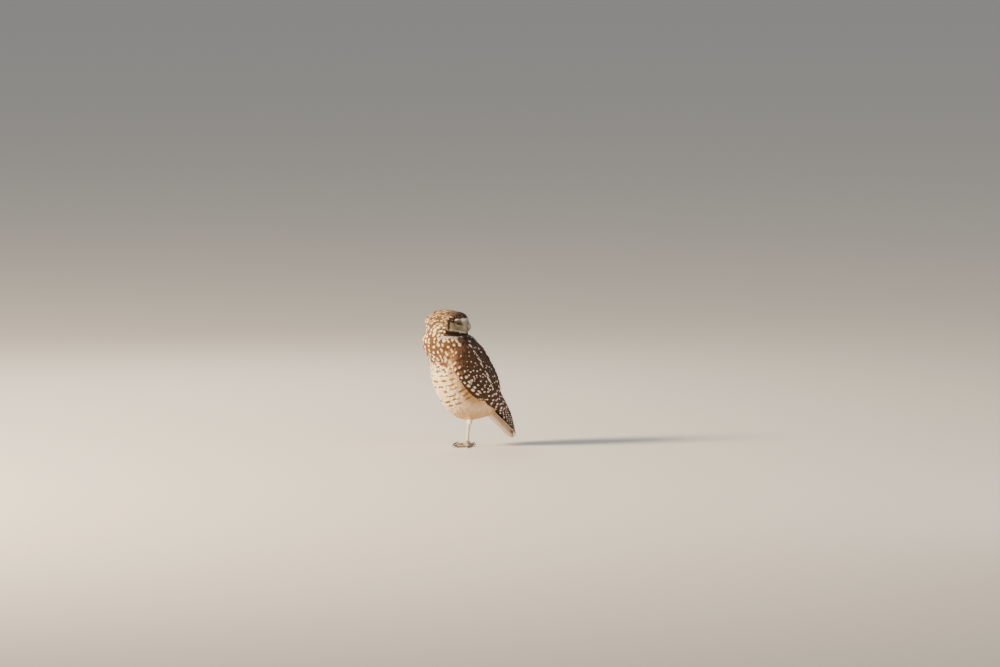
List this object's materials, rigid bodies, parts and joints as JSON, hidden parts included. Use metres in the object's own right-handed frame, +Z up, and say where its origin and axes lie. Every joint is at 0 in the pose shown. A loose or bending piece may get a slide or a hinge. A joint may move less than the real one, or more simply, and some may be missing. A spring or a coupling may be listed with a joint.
{
  "type": "burrowing owl",
  "caption": "Still life-size burrowing owl standing on two long feathered legs, head turned to look back over its left shoulder.",
  "frame": {"origin": "on the floor, under the middle of the whole owl's box", "axes": "+Z up; the owl's body faces -Y and its left side is +X; its head is turned 128 degrees to its left"},
  "size_m": [0.087, 0.156, 0.2056],
  "materials": {
    "head_plumage": "soft matte feathers, sandy brown with buff streaks",
    "body_plumage": "soft matte feathers, cream with rusty brown bars and spots",
    "wing_plumage": "matte feathers, brown with round buff spots",
    "tail_plumage": "matte feathers, brown with pale bars",
    "leg_plumage": "short matte feathers, cream white",
    "bill_horn": "smooth horn, satin, pale greenish yellow",
    "eye": "wet and glossy, yellow iris",
    "foot_skin": "dry scaly skin with bristles",
    "claw_horn": "smooth dark horn, satin"
  },
  "bodies": {
    "root": {"bill_lower": "bill_horn", "bill_upper": "bill_horn", "claw_left_1": "claw_horn", "claw_left_2": "claw_horn", "claw_left_3": "claw_horn", "claw_left_4": "claw_horn", "claw_right_1": "claw_horn", "claw_right_2": "claw_horn", "claw_right_3": "claw_horn", "claw_right_4": "claw_horn", "eye_left": "eye", "eye_right": "eye", "foot_left": "foot_skin", "foot_right": "foot_skin", "head": "head_plumage", "neck": "body_plumage", "tail": "tail_plumage", "tarsus_left": "leg_plumage", "tarsus_right": "leg_plumage", "thigh_left": "leg_plumage", "thigh_right": "leg_plumage", "toe_left_1": "foot_skin", "toe_left_2": "foot_skin", "toe_left_3": "foot_skin", "toe_left_4": "foot_skin", "toe_right_1": "foot_skin", "toe_right_2": "foot_skin", "toe_right_3": "foot_skin", "toe_right_4": "foot_skin", "torso": "body_plumage", "wing_left": "wing_plumage", "wing_right": "wing_plumage"}
  },
  "joints": []
}
